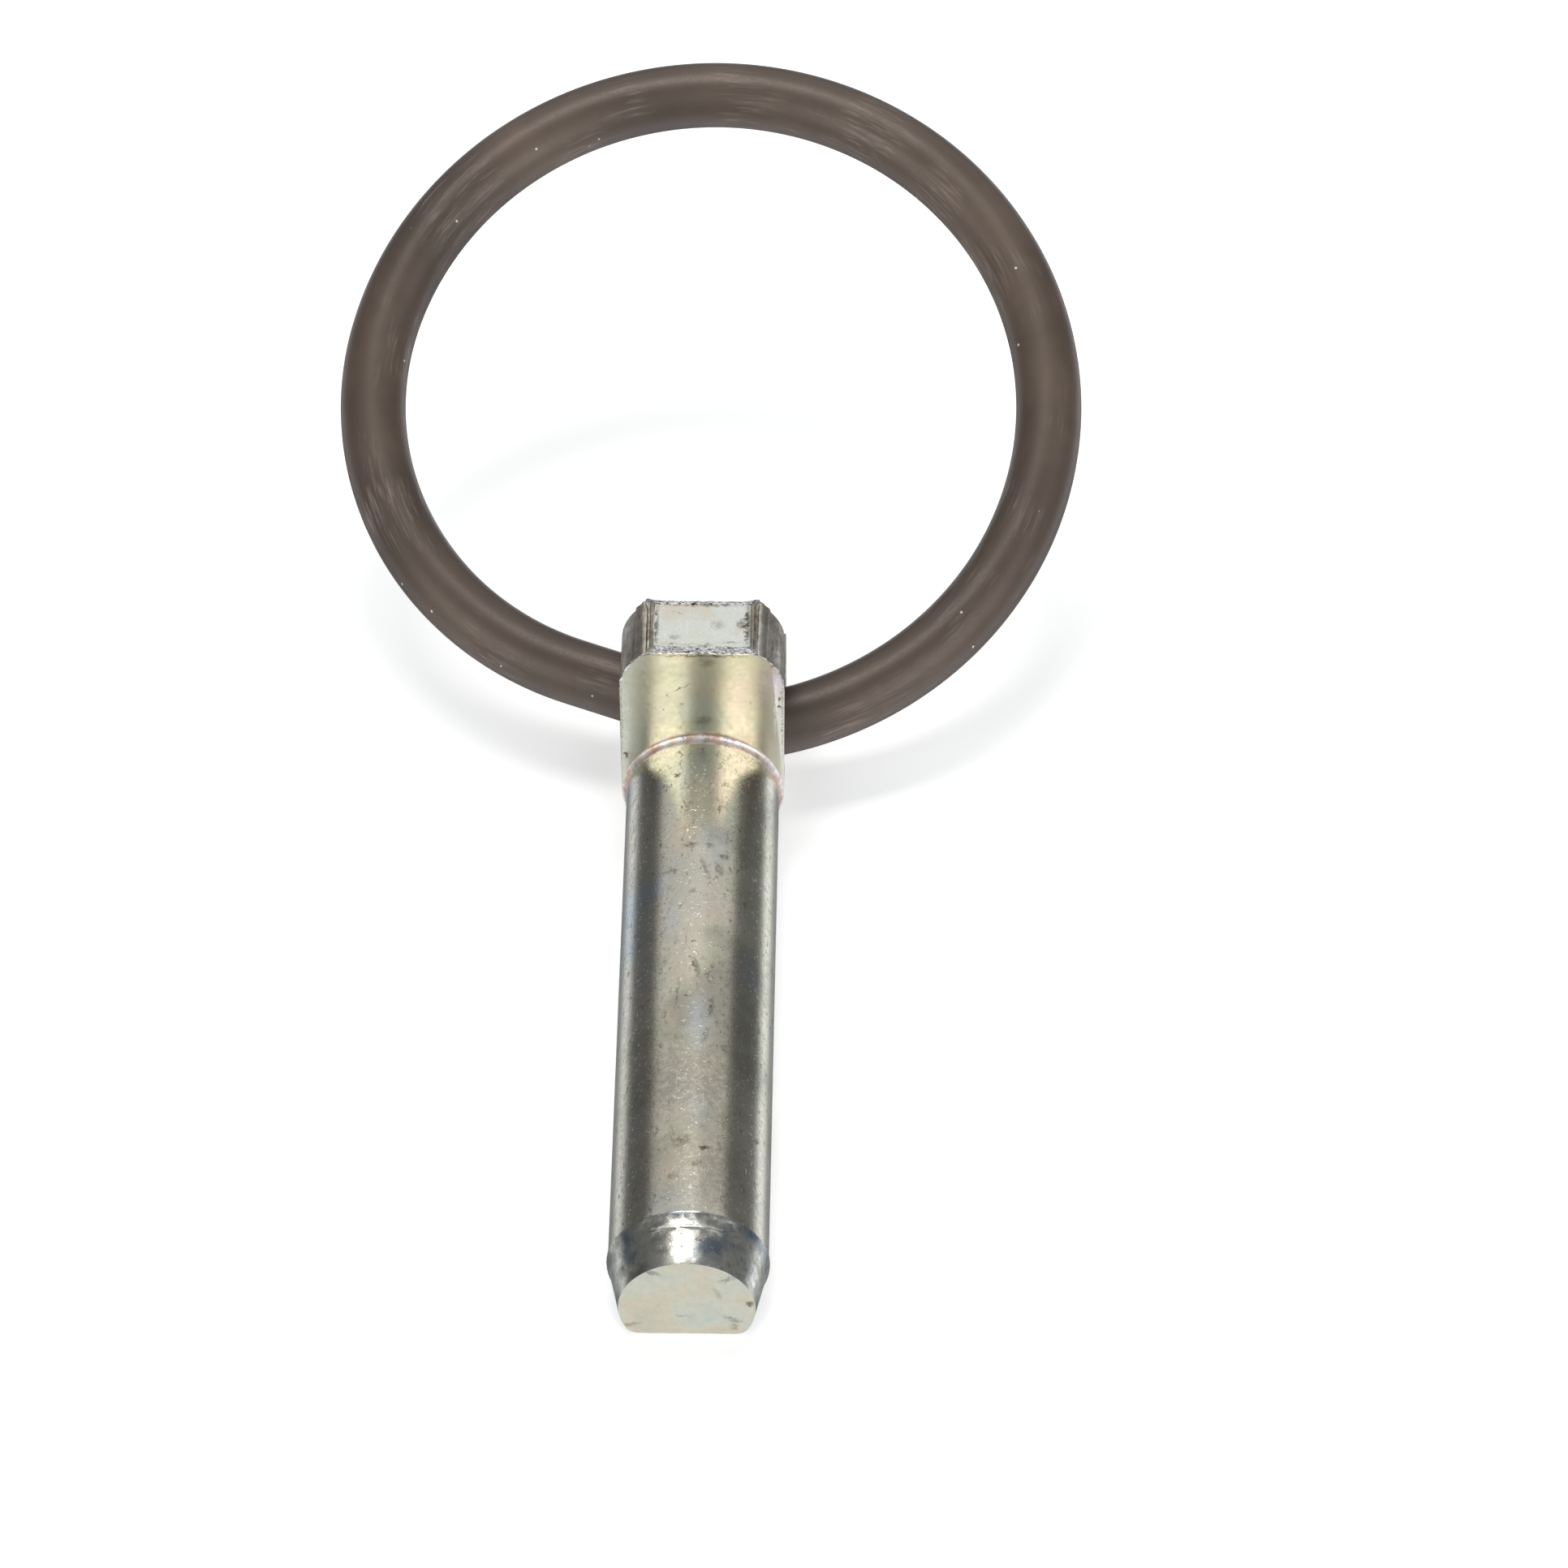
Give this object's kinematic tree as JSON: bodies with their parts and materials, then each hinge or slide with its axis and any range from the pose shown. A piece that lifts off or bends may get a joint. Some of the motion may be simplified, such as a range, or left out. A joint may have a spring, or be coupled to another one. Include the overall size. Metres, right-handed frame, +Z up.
{
  "type": "lock pin with retaining ring",
  "caption": "Straight lock pin with a D-shaped shank, tapered nose and upright head, and a rubber ring that swings in a cross hole through the head.",
  "frame": {"origin": "on the shank's axis, in the plane of the head's front shoulder", "axes": "-Y along the shank towards the nose, +Z up from the flat to the top of the head, +X to the right seen from the nose"},
  "size_m": [0.0627, 0.1148, 0.0335],
  "materials": {
    "plated_steel": "zinc plated with a yellow passivation, worn",
    "ring_rubber": "moulded, matt"
  },
  "bodies": {
    "pin": {"lock_pin": "plated_steel"},
    "ring": {"retaining_ring": "ring_rubber"}
  },
  "joints": [
    {"name": "ring_swing", "type": "hinge", "parent": "pin", "child": "ring", "pos_m": [0, 0.00627, 0.0037], "axis": [1, 0, 0], "range_deg": [-29.5, 147.5]}
  ]
}
